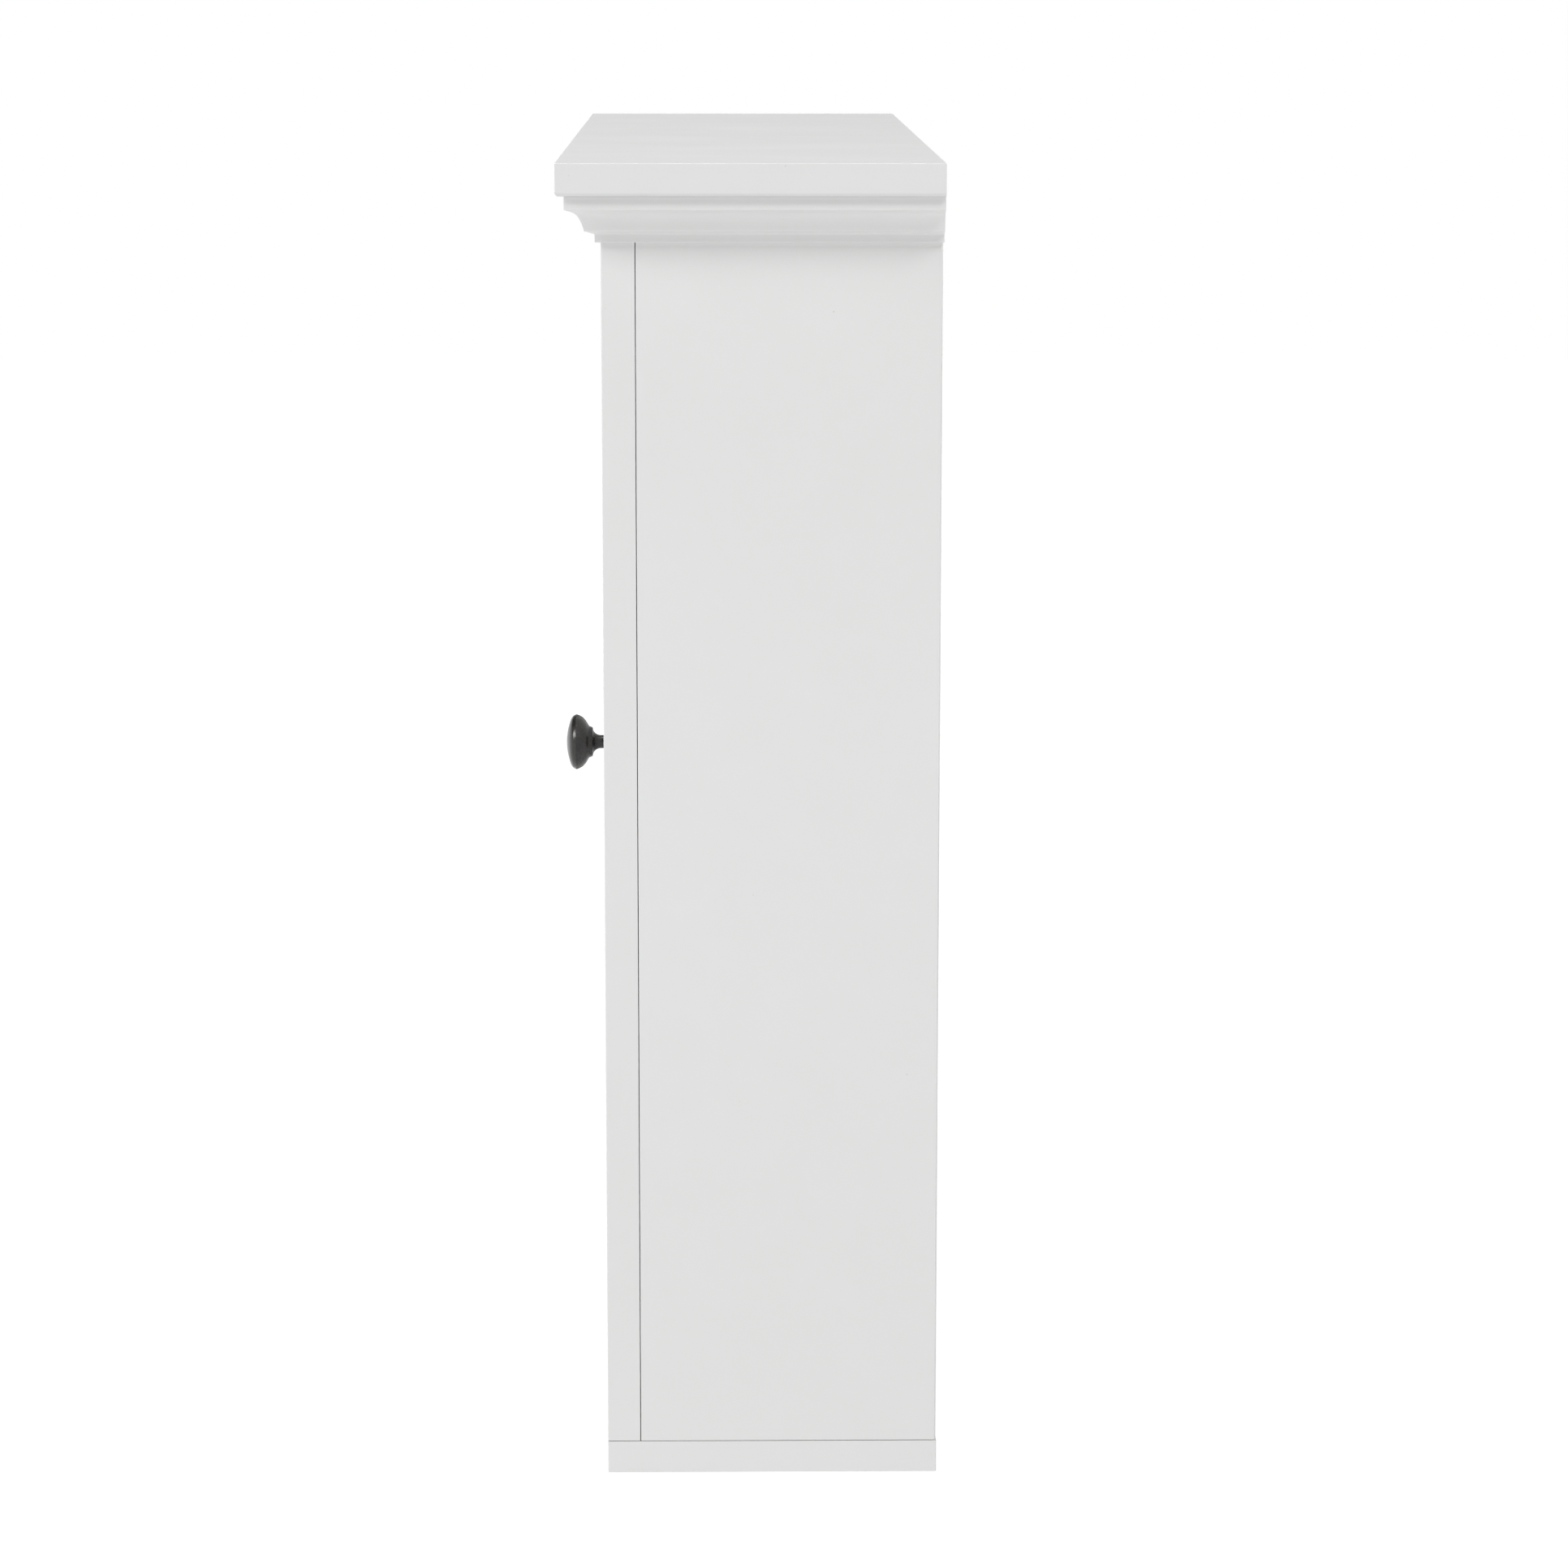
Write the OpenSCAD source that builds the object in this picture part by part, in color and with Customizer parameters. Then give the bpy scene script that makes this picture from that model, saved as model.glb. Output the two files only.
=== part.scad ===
// Wall-hung apothecary cabinet with a crown moulding, a face frame, one flush door and an open half.
// Millimetres. X is to the right as seen from the front, Y runs back to the wall, Z is up.
// The modules measure from the middle of the underside at the wall. placed() then moves everything so that
// the origin is the middle of the underside of the whole cabinet, knob included.

/* [Overall] */
// Width of the top board
top_w = 762; // [640:1:900]
// Depth of the top board, from the wall
top_d = 206; // [190:1:260]
// Height of the whole cabinet
total_h = 724; // [640:1:860]
// How far the top board stands out past the body, at the front and at both sides
overhang = 23.5; // [22:0.5:30]

/* [Boards] */
// Thickness of the outer boards, the face frame and the door
board_t = 18; // [16:0.5:20]
// Thickness of the top board
top_board_t = 17.5; // [16:0.5:20]
// Thickness of the floor, the carcass top and the shelves
shelf_t = 15; // [15:0.5:18]
// Thickness of the back panel
back_t = 4; // [3:0.5:6]
// How far the back panel, base and top stand past the rear edges of the sides
side_setback = 0.8; // [0:0.1:2]
// Open joint between the face frame and the side panels
frame_seam = 0.4; // [0:0.1:1]
// Open joint between the base board and what stands on it
base_seam = 0.2; // [0:0.1:0.5]

/* [Face frame] */
// Width of the frame's upright stiles
stile_w = 50; // [40:1:60]
// Height of the bottom rail
bottom_rail_h = 50; // [40:1:60]
// Height of the top rail that shows below the crown
top_rail_show = 28; // [24:1:50]

/* [Crown moulding] */
// How far the upper fillet stands out past the body
crown_out = 18.8; // [17:0.1:21]
// Height of the upper fillet
crown_fillet_h = 7.1; // [5:0.1:10]
// Width of the straight slope between the upper fillet and the cove
cove_lead = 4.1; // [3:0.1:5]
// Slope where the cove starts, in degrees
cove_lean = 20; // [10:1:30]
// Radius of the cove's upper, tight arc
cove_r = 6; // [4:0.1:7]
// Slope where the tight arc meets the long arc, in degrees
cove_turn = 55; // [45:1:60]
// Radius of the cove's lower, long arc
cove_long_r = 20; // [15:0.5:22]
// Slope where the cove ends, in degrees
cove_end = 80; // [70:1:85]
// How far the lower fillet stands out past the body
crown_foot_out = 3.05; // [2:0.05:5]
// Height of the lower fillet
crown_foot_h = 4.4; // [3:0.1:6]
// Drop of the sloping ledge between the cove and the lower fillet
crown_ledge_drop = 1.9; // [1:0.1:3]
// Radius of the top board's lower edge, at the front and at both sides
top_edge_r = 2.5; // [1:0.1:4.4]

/* [Door] */
// Gap all round the door
door_gap = 2; // [1.5:0.1:3]
// Width of the door's stiles and top rail
door_stile_w = 50; // [45:1:60]
// Height of the door's bottom rail
door_bottom_h = 60; // [50:1:80]
// Thickness of the door's loose panel
panel_t = 6; // [5:0.5:8]
// How far the panel lies behind the door's front
panel_recess = 6; // [4:0.5:7]
// Size of the quarter-round bead round the panel
bead_s = 5; // [3:0.5:6]

/* [Door pivots] */
// Distance of the pivot axis from the door's hinge edge
pivot_in = 11; // [9:0.5:12]
// Distance of the pivot axis behind the door's front
pivot_back = 6; // [5:0.5:6.5]
// Radius of the pivot pin
pin_r = 2; // [1.5:0.1:2.2]
// Radial running clearance of the pin in its bush
pin_clear = 0.05; // [0.02:0.01:0.1]

/* [Knob] */
// Radius of the knob's rim
knob_r = 16.8; // [13:0.1:18]
// How far the knob stands out from the door
knob_out = 30; // [26:0.5:34]

/* [Inside] */
// Height of the hanging rail
rail_h = 60; // [50:1:80]
// Distance between the two hanging screws
hang_spacing = 406.4; // [300:0.1:610]
// Radius of the hanging screw holes
hang_hole_r = 3.25; // [2.5:0.05:4]

/* [Hidden] */
$fn = 48;
body_w = top_w - 2 * overhang;
half_w = body_w / 2;
front_y = overhang - top_d;                 // front plane of the face frame and of the door
frame_back_y = front_y + board_t;
carcass_front_y = frame_back_y + frame_seam;
top_z = total_h - top_board_t;              // underside of the top board
cove_drop = cove_lead * tan(cove_lean) + cove_r * (cos(cove_lean) - cos(cove_turn))
    + cove_long_r * (cos(cove_turn) - cos(cove_end));
// Rounded to 0.01 mm, so that boards whose places follow from it still meet in one plane.
crown_h = round(100 * (crown_fillet_h + cove_drop + crown_ledge_drop + crown_foot_h)) / 100;
open_z0 = board_t + bottom_rail_h;          // the two openings in the face frame, bottom and top
open_z1 = top_z - crown_h - top_rail_show;
open_x0 = stile_w / 2;                      // right-hand opening, from the middle stile to the outer one
open_x1 = half_w - stile_w;
inner_x = half_w - board_t;                 // inner face of a side panel
divider_x = board_t / 2;                    // face of the middle divider
back_clear = 0.2;                           // assembly clearance in front of the back panel
inside_y = -back_t - back_clear;            // rear face of everything inside
ceiling_z = top_z - shelf_t;                // underside of the carcass top
rail_t = board_t;
hang_z = ceiling_z - rail_h / 2;            // height of the hanging screws
fit = 0.05;                                 // clearance round dowels, screws and pins
rebate_w = 9;                               // how far the back panel reaches into each side
rebate_clear = 0.3;

// Door
door_x0 = open_x0 + door_gap;
door_x1 = open_x1 - door_gap;
door_z0 = open_z0 + door_gap;
door_z1 = open_z1 - door_gap;
groove_d = 8;
groove_y = front_y + panel_recess;
panel_x0 = door_x0 + door_stile_w;
panel_x1 = door_x1 - door_stile_w;
panel_z0 = door_z0 + door_bottom_h;
panel_z1 = door_z1 - door_stile_w;
pivot_x = door_x1 - pivot_in;
pivot_y = front_y + pivot_back;
bush_r = 3.5;
bush_l = 14;
bush_flange_r = 5;
bush_flange_t = 1;
pivot_plate = [24, 9, 1.5];
pivot_reach = 11;                           // how far a pivot pin goes into the door
pivot_screw_x = 8;
bead_joint = 0.1;                           // gap at the beads' mitres
knob_x = door_x0 + door_stile_w / 2;
knob_z = round(100 * (door_z0 + door_z1) / 2) / 100;
knob_bore_l = 13;
knob_screw_r = 2;
knob_head_r = 4.2;
knob_head_h = 2.4;

// Door stop and catches
stop_w = 28;
stop_gap = 2;
stop_y = frame_back_y + stop_gap;
stop_z0 = open_z0;
stop_z1 = ceiling_z - rail_h / 2;
catch_x = divider_x + stop_w - 5;
catch_z = [open_z0 + 92, open_z1 - 93];
catch_r = 4.5;
catch_l = 13;
catch_collar_r = 5;
catch_collar_t = 0.9;
magnet_r = 3;
strike_r = 5;
strike_t = 0.8;
bumper_z = [open_z0 + 32, open_z1 - 33];
bumper_r = 4;
bumper_t = 1.7;

// Shelves and their pins
compartments = 3;
shelf_step = round(100 * (open_z1 - open_z0 + shelf_t) / compartments) / 100;
shelf_z = [for (i = [1 : compartments - 1]) open_z0 + i * shelf_step - shelf_t];
shelf_end_gap = 1.5;
shelf_back_y = inside_y - 1;
right_shelf_front_y = stop_y + board_t + 2;
shelf_pin_r = 2.5;
shelf_pin_in = 7.5;
shelf_pin_out = 7;
pin_rows_y = [-125, -35];
pin_pitch = 32;
pin_holes_each_way = 2;

// Fasteners
dowel_r = 4;
dowel_in_stile = 12;
dowel_in_edge = 18;
rail_dowel_l = 30;                          // dowels between the frame's rails and stiles
divider_dowel_in = 18;                      // how far a divider dowel goes into the divider,
divider_dowel_out = 10;                     // and into the panel above or below it
frame_y = front_y + board_t / 2;
side_x = half_w - board_t / 2;
outer_dowel_z = [100, total_h / 2, total_h - 104];
middle_dowel_z = [150, total_h / 2, total_h - 154];
corner_dowel_z = [30, 46, top_z - 34, top_z - 14];
cam_y = [-130, -40];
cam_in = 34;
cam_r = 7.5;
cam_h = 12.5;
cam_bolt_r = 3;
cam_bolt_head_r = 3.6;
cam_bolt_in_side = 11;
cam_bolt_head_l = 4;
cam_bolt_flange_t = 1.5;
cam_slot_r = cam_bolt_head_r + 0.4;
cam_cross = [7, 1.4, 2.02];                 // the driver's cross in a cam disc
top_screw_xy = [for (x = [-250, -60, 60, 250], y = [-130, -40]) [x, y]];
rail_screw_x = [-280, -150, 150, 280];
rail_screw_y = inside_y - rail_t / 2;
base_screw_xy = [
    for (s = [-1, 1], p = [[side_x, -130], [side_x, -40], [half_w - 25, frame_y], [100, frame_y]])
    [s * p[0], p[1]]
];
back_screw_xz = concat(
    [for (s = [-1, 1], i = [0 : 4]) [s * (inner_x + rebate_w / 2), 110 + i * 130]],
    [for (x = [-200, 0, 200]) [x, open_z0 - shelf_t / 2]],
    [for (x = [-220, 0, 220]) [x, ceiling_z + shelf_t / 2]]
);
divider_dowel_y = [-115, -55];
stop_screw_z = [110, total_h / 2 - 45, total_h - 110];
// The driver's cross: width and slot as shares of the head's radius, depth as a share of its height.
cross_w = 1.1;
cross_slot = 0.22;
cross_depth = 0.6;
// Screws: shank radius, length, head radius, head height.
base_screw = [2.5, 50, 5, 3.2];
top_screw = [2, shelf_t + 12, 4, 2.4];
rail_screw = [2, shelf_t + 30, 4, 2.4];
back_screw = [1.25, 16, 2.8, 1.6];
stop_screw = [1.75, stop_w + 11, 3.5, 2.2];
pivot_screw = [1.25, 12, 2.4, 1.4];
strike_screw = [1.25, 12, 2.4, strike_t];

paint = "#e6e6e4";
birch = "#d9c39a";
steel = "#b9bcc0";
zinc = "#c9c6bb";
brass = "#cfae62";
bronze = "#3c3a38";
pale_plastic = "#dfe4e6";

// ---------- helpers ----------

// Moves the part from the wall plane to the middle of its depth.
module placed() { translate([0, (knob_out - front_y) / 2, 0]) children(); }

// Box between two corners.
module block(a, b) { translate(a) cube(b - a); }

// Rods along an axis: from p, for the length l, in the positive direction.
module rod_x(p, r, l) { translate(p) rotate([0, 90, 0]) cylinder(r = r, h = l); }
module rod_y(p, r, l) { translate(p) rotate([-90, 0, 0]) cylinder(r = r, h = l); }
module rod_z(p, r, l) { translate(p) cylinder(r = r, h = l); }

// Countersunk screw along +Z from its head's flat face, without the driver's recess.
module screw_body(s) {
    cylinder(r1 = s[2], r2 = s[0], h = s[3]);
    cylinder(r = s[0], h = s[1]);
}

// The whole screw, or the hole that it needs, a little larger all round.
module screw(s, hole = false) {
    if (hole) {
        screw_body([s[0] + fit, s[1] + 1, s[2] + fit, s[3]]);
        translate([0, 0, -1]) cylinder(r = s[2] + fit, h = 1.01);
    } else difference() {
        screw_body(s);
        for (a = [0, 90]) rotate([0, 0, a])
            cube([cross_w * s[2], cross_slot * s[2], 2 * cross_depth * s[3]], center = true);
    }
}

// ---------- fasteners: each list of places is used for the fasteners and for their holes ----------

module frame_dowel_set(grow = 0) {
    r = dowel_r + grow;
    // Outer stiles to the side panels, and the middle stile to the divider.
    for (s = [-1, 1], z = outer_dowel_z)
        rod_y([s * side_x, frame_back_y - dowel_in_stile - grow, z], r,
              dowel_in_stile + frame_seam + dowel_in_edge + 2 * grow);
    for (z = middle_dowel_z)
        rod_y([0, frame_back_y - dowel_in_stile - grow, z], r,
              dowel_in_stile + frame_seam + dowel_in_edge + 2 * grow);
    // Rails to the outer stiles.
    for (s = [-1, 1], z = corner_dowel_z)
        rod_x([s * open_x1 - rail_dowel_l / 2 - grow, frame_y, z], r, rail_dowel_l + 2 * grow);
    // Middle stile to the rails.
    for (z = [open_z0, open_z1])
        rod_z([0, frame_y, z - rail_dowel_l / 2 - grow], r, rail_dowel_l + 2 * grow);
}

module divider_dowel_set(grow = 0) {
    l = divider_dowel_in + divider_dowel_out;
    for (y = divider_dowel_y, z = [open_z0 - divider_dowel_out, ceiling_z - divider_dowel_in])
        rod_z([0, y, z - grow], dowel_r + grow, l + 2 * grow);
}

module base_screw_set(hole = false) {
    for (p = base_screw_xy) translate([p[0], p[1], 0]) screw(base_screw, hole);
}

module top_screw_set(hole = false) {
    for (p = top_screw_xy) translate([p[0], p[1], ceiling_z]) screw(top_screw, hole);
}

module rail_screw_set(hole = false) {
    for (x = rail_screw_x) translate([x, rail_screw_y, top_z]) mirror([0, 0, 1]) screw(rail_screw, hole);
}

module back_screw_set(hole = false) {
    for (p = back_screw_xz) translate([p[0], 0, p[1]]) rotate([90, 0, 0]) screw(back_screw, hole);
}

module stop_screw_set(hole = false) {
    for (z = stop_screw_z) translate([divider_x + stop_w, stop_y + board_t / 2, z]) rotate([0, -90, 0])
        screw(stop_screw, hole);
}

module pivot_screw_set(hole = false) {
    for (x = [-pivot_screw_x, pivot_screw_x]) {
        translate([pivot_x + x, pivot_y, open_z1]) screw(pivot_screw, hole);
        translate([pivot_x + x, pivot_y, open_z0]) mirror([0, 0, 1]) screw(pivot_screw, hole);
    }
}

module strike_screw_set(hole = false) {
    for (z = catch_z) translate([catch_x, frame_back_y + strike_t, z]) rotate([90, 0, 0])
        screw(strike_screw, hole);
}

// Cam fittings: a disc in the horizontal panel turns onto the head of a bolt in the side panel.
module cam_places() {
    for (s = [0, 1], y = cam_y, z = [open_z0 - shelf_t, ceiling_z])
        mirror([s, 0, 0]) translate([inner_x, y, z]) children();
}

module cam_disc() {
    difference() {
        translate([-cam_in, 0, 0]) cylinder(r = cam_r, h = cam_h);
        // Slot that takes the bolt's head, and the driver's cross.
        rod_x([-cam_in - cam_bolt_head_l + 1, 0, shelf_t / 2], cam_slot_r, cam_in);
        for (a = [0, 90]) translate([-cam_in, 0, 1]) rotate([0, 0, a]) cube(cam_cross, center = true);
    }
}

module cam_bolt() {
    z = shelf_t / 2;
    neck_x = -cam_in + cam_bolt_head_l / 2;
    rod_x([neck_x, 0, z], cam_bolt_r, cam_bolt_in_side - neck_x);
    rod_x([neck_x - cam_bolt_head_l, 0, z], cam_bolt_head_r, cam_bolt_head_l);
    rod_x([-cam_bolt_flange_t, 0, z], cam_bolt_head_r, cam_bolt_flange_t);
}

module cam_holes() {
    cam_places() {
        translate([-cam_in, 0, -0.01]) cylinder(r = cam_r + fit, h = cam_h + fit);
        rod_x([-cam_in, 0, shelf_t / 2], cam_slot_r, cam_in + 0.01);
        rod_x([-0.01, 0, shelf_t / 2], cam_bolt_r + fit, cam_bolt_in_side + fit);
    }
}

// Rows of holes for the shelf pins. The face is at x, and the holes go in along dir.
module pin_hole_rows(x, dir) {
    for (y = pin_rows_y, z = shelf_z, i = [-pin_holes_each_way : pin_holes_each_way])
        translate([x, y, z - shelf_pin_r + i * pin_pitch]) rotate([0, 90 * dir, 0])
            translate([0, 0, -0.01]) cylinder(r = shelf_pin_r + fit, h = shelf_pin_in + 0.5);
}

module shelf_pin() {
    rod_x([-shelf_pin_in, 0, 0], shelf_pin_r, shelf_pin_in + shelf_pin_out);
    rod_x([0, 0, 0], shelf_pin_r + 1, 1.2);
}

// ---------- carcass ----------

module base_board() color(paint) difference() {
    block([-half_w, front_y, 0], [half_w, 0, board_t]);
    base_screw_set(true);
}

module side_panel() color(paint) difference() {
    block([inner_x, carcass_front_y, board_t + base_seam], [half_w, -side_setback, top_z]);
    block([inner_x - 1, inside_y, 0], [inner_x + rebate_w + rebate_clear, 1, total_h]);
    frame_dowel_set(fit);
    base_screw_set(true);
    back_screw_set(true);
    cam_holes();
    pin_hole_rows(inner_x, 1);
}

module side_panel_right() side_panel();

module side_panel_left() mirror([1, 0, 0]) side_panel();

module centre_divider() color(paint) difference() {
    block([-divider_x, carcass_front_y, open_z0], [divider_x, inside_y, ceiling_z]);
    // Notch that lets the hanging rail pass.
    block([-divider_x - 1, inside_y - rail_t - back_clear, ceiling_z - rail_h - back_clear],
          [divider_x + 1, 1, ceiling_z + 1]);
    frame_dowel_set(fit);
    divider_dowel_set(fit);
    stop_screw_set(true);
    pin_hole_rows(divider_x, -1);
    pin_hole_rows(-divider_x, 1);
}

module floor_panel() color(paint) difference() {
    block([-inner_x, carcass_front_y, open_z0 - shelf_t], [inner_x, inside_y, open_z0]);
    cam_holes();
    divider_dowel_set(fit);
    back_screw_set(true);
}

module carcass_top() color(paint) difference() {
    block([-inner_x, carcass_front_y, ceiling_z], [inner_x, inside_y, top_z]);
    cam_holes();
    divider_dowel_set(fit);
    top_screw_set(true);
    rail_screw_set(true);
    back_screw_set(true);
}

module back_panel() color(paint) difference() {
    block([-inner_x - rebate_w, -back_t, board_t], [inner_x + rebate_w, 0, top_z]);
    for (s = [-1, 1]) rod_y([s * hang_spacing / 2, -back_t - 1, hang_z], hang_hole_r, back_t + 2);
    back_screw_set(true);
}

module hanging_rail() color(paint) difference() {
    block([-inner_x, inside_y - rail_t, ceiling_z - rail_h], [inner_x, inside_y, ceiling_z]);
    for (s = [-1, 1])
        rod_y([s * hang_spacing / 2, inside_y - rail_t - 1, hang_z], hang_hole_r, rail_t + 2);
    rail_screw_set(true);
}

// ---------- face frame ----------

module frame_stile_outer() color(paint) difference() {
    block([open_x1, front_y, board_t + base_seam], [half_w, frame_back_y, top_z]);
    frame_dowel_set(fit);
    base_screw_set(true);
}

module frame_stile_right() frame_stile_outer();

module frame_stile_left() mirror([1, 0, 0]) frame_stile_outer();

module frame_stile_centre() color(paint) difference() {
    block([-open_x0, front_y, open_z0], [open_x0, frame_back_y, open_z1]);
    frame_dowel_set(fit);
}

// Pocket for a pivot's plate, at the height z and going dir times upwards.
module pivot_pocket(z, dir) {
    s = pivot_plate + [4 * fit, 4 * fit, 2 * fit];
    translate([pivot_x, pivot_y, z + dir * (pivot_plate[2] / 2 - fit)]) cube(s, center = true);
}

module frame_rail_top() color(paint) difference() {
    block([-open_x1, front_y, open_z1], [open_x1, frame_back_y, top_z]);
    frame_dowel_set(fit);
    pivot_pocket(open_z1, 1);
    pivot_screw_set(true);
}

module frame_rail_bottom() color(paint) difference() {
    block([-open_x1, front_y, board_t + base_seam], [open_x1, frame_back_y, open_z0]);
    frame_dowel_set(fit);
    base_screw_set(true);
    pivot_pocket(open_z0, -1);
    pivot_screw_set(true);
}

// ---------- top board and crown moulding ----------

// Section of the top board, from x -w to x w, with its two lower edges rounded.
module top_section(w) {
    translate([-w, top_edge_r]) square([2 * w, top_board_t - top_edge_r]);
    translate([-w + top_edge_r, 0]) square([2 * w - 2 * top_edge_r, top_board_t]);
    for (s = [-1, 1]) translate([s * (w - top_edge_r), top_edge_r]) circle(r = top_edge_r);
}

module top_board() color(paint) difference() {
    intersection() {
        translate([0, 0, top_z]) rotate([90, 0, 0]) linear_extrude(top_d) top_section(top_w / 2);
        translate([-top_w / 2, 0, top_z]) rotate([90, 0, 90]) linear_extrude(top_w) top_section(top_d);
    }
    top_screw_set(true);
}

// Point on a cove's arc where the surface slopes by a degrees: c is the arc's centre and r its radius.
function cove_point(c, r, a) = c - r * [sin(a), -cos(a)];

// Slice of a disc round c, between the points a and b of its edge.
module slice(c, r, a, b) intersection() {
    translate(c) circle(r = r);
    polygon([c, c + 1.2 * (a - c), c + 1.2 * (b - c)]);
}

// Section of the crown moulding: x is the distance out from the body, y is the height above the top
// board's underside, so it is below zero.
module crown_section() {
    corner = [crown_out, -crown_fillet_h];
    start = corner - cove_lead * [1, tan(cove_lean)];
    c1 = start + cove_r * [sin(cove_lean), -cos(cove_lean)];
    bend = cove_point(c1, cove_r, cove_turn);
    c2 = bend + cove_long_r * [sin(cove_turn), -cos(cove_turn)];
    end = cove_point(c2, cove_long_r, cove_end);
    difference() {
        polygon([[0, 0], [crown_out, 0], corner, start, bend, end,
                 [crown_foot_out, crown_foot_h - crown_h], [crown_foot_out, -crown_h], [0, -crown_h]]);
        slice(c1, cove_r, start, bend);
        slice(c2, cove_long_r, bend, end);
    }
}

// A length of moulding whose back lies on the plane y 0 and which faces -Y, from x -l to x l.
module crown_stick(l) {
    translate([-l, 0, top_z]) rotate([90, 0, 90]) linear_extrude(2 * l)
        mirror([1, 0]) crown_section();
}

// What is in front of both mitres.
module front_of_mitres() {
    reach = 2 * crown_out;
    translate([0, 0, top_z - 2 * crown_h]) linear_extrude(3 * crown_h)
        polygon([[-half_w, front_y], [half_w, front_y],
                 [half_w + reach, front_y - reach], [-half_w - reach, front_y - reach]]);
}

module crown_front() color(paint) intersection() {
    translate([0, front_y, 0]) crown_stick(half_w + crown_out + 1);
    front_of_mitres();
}

module crown_side() color(paint) difference() {
    intersection() {
        translate([half_w, 0, 0]) rotate([0, 0, 90]) crown_stick(top_d);
        block([half_w, -top_d, top_z - crown_h], [half_w + crown_out, 0, top_z]);
    }
    front_of_mitres();
}

module crown_right() crown_side();

module crown_left() mirror([1, 0, 0]) crown_side();

// ---------- shelves ----------

module open_shelf(z) color(paint)
    block([-inner_x + shelf_end_gap, carcass_front_y, z],
          [-divider_x - shelf_end_gap, shelf_back_y, z + shelf_t]);

module door_shelf(z) color(paint)
    block([divider_x + shelf_end_gap, right_shelf_front_y, z],
          [inner_x - shelf_end_gap, shelf_back_y, z + shelf_t]);

module shelf_pins() color(steel)
    for (s = [0, 1]) mirror([s, 0, 0])
        for (y = pin_rows_y, z = shelf_z) {
            translate([divider_x, y, z - shelf_pin_r]) shelf_pin();
            translate([inner_x, y, z - shelf_pin_r]) mirror([1, 0, 0]) shelf_pin();
        }

// ---------- door stop and catches ----------

module door_stop() color(paint) difference() {
    block([divider_x, stop_y, stop_z0], [divider_x + stop_w, stop_y + board_t, stop_z1]);
    for (z = catch_z) rod_y([catch_x, stop_y - 1, z], catch_r + fit, catch_l + 1);
    stop_screw_set(true);
}

module catch_housings() color(pale_plastic)
    for (z = catch_z) difference() {
        union() {
            rod_y([catch_x, stop_y - catch_collar_t, z], catch_collar_r, catch_collar_t);
            rod_y([catch_x, stop_y - catch_collar_t, z], catch_r, catch_l + catch_collar_t - 0.2);
        }
        rod_y([catch_x, stop_y - catch_collar_t - 1, z], magnet_r, catch_l);
    }

module catch_magnets() color(steel)
    for (z = catch_z) rod_y([catch_x, stop_y - catch_collar_t, z], magnet_r - fit, catch_l - 1.5);

module door_bumpers() color(pale_plastic)
    for (z = bumper_z) translate([catch_x, stop_y, z]) rotate([90, 0, 0]) {
        cylinder(r = bumper_r, h = bumper_t / 2);
        cylinder(r1 = bumper_r, r2 = bumper_r / 2, h = bumper_t);
    }

// ---------- pivots ----------

// A steel plate with its pin, which points along +Z from the plate's face at z 0.
module pivot() {
    difference() {
        translate([0, 0, -pivot_plate[2] / 2]) cube(pivot_plate, center = true);
        for (x = [-pivot_screw_x, pivot_screw_x]) translate([x, 0, 0]) mirror([0, 0, 1])
            screw(pivot_screw, true);
    }
    translate([0, 0, -pivot_plate[2]]) cylinder(r = pin_r, h = pivot_plate[2] + door_gap + pivot_reach);
}

module upper_pivot() color(steel) translate([pivot_x, pivot_y, open_z1]) mirror([0, 0, 1]) pivot();

module lower_pivot() color(steel) translate([pivot_x, pivot_y, open_z0]) pivot();

module pivot_washer() color(pale_plastic) difference() {
    rod_z([pivot_x, pivot_y, open_z0 + 0.02], bush_flange_r, door_gap - bush_flange_t - 0.04);
    rod_z([pivot_x, pivot_y, open_z0 - 1], pin_r + pin_clear, 4);
}

// A flanged bush: its barrel points along +Z from z 0, and its flange lies below z 0.
module bush() {
    difference() {
        union() {
            cylinder(r = bush_r, h = bush_l);
            translate([0, 0, -bush_flange_t]) cylinder(r = bush_flange_r, h = bush_flange_t);
        }
        translate([0, 0, -bush_flange_t - 1]) cylinder(r = pin_r + pin_clear, h = bush_l + bush_flange_t);
    }
}

module lower_bush() color(brass) translate([pivot_x, pivot_y, door_z0]) bush();

module upper_bush() color(brass) translate([pivot_x, pivot_y, door_z1]) mirror([0, 0, 1]) bush();

module bush_holes() {
    rod_z([pivot_x, pivot_y, door_z0 - 1], bush_r + 0.02, bush_l + 1.1);
    rod_z([pivot_x, pivot_y, door_z1 - bush_l - 0.1], bush_r + 0.02, bush_l + 1.1);
}

// ---------- door ----------

// Groove in the inner edges of the door's frame, which holds the loose panel and the rails' tongues.
module door_groove() {
    d = groove_d + 0.3;
    w = panel_t + 0.2;
    block([panel_x0 - d, groove_y - 0.1, door_z0 - 1], [panel_x0 + 1, groove_y - 0.1 + w, door_z1 + 1]);
    block([panel_x1 - 1, groove_y - 0.1, door_z0 - 1], [panel_x1 + d, groove_y - 0.1 + w, door_z1 + 1]);
}

module door_stile_hinge() color(paint) difference() {
    block([panel_x1, front_y, door_z0], [door_x1, frame_back_y, door_z1]);
    door_groove();
    bush_holes();
}

module door_stile_knob() color(paint) difference() {
    block([door_x0, front_y, door_z0], [panel_x0, frame_back_y, door_z1]);
    door_groove();
    rod_y([knob_x, front_y - 1, knob_z], knob_screw_r + 0.25, board_t + 2);
    strike_screw_set(true);
}

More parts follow.
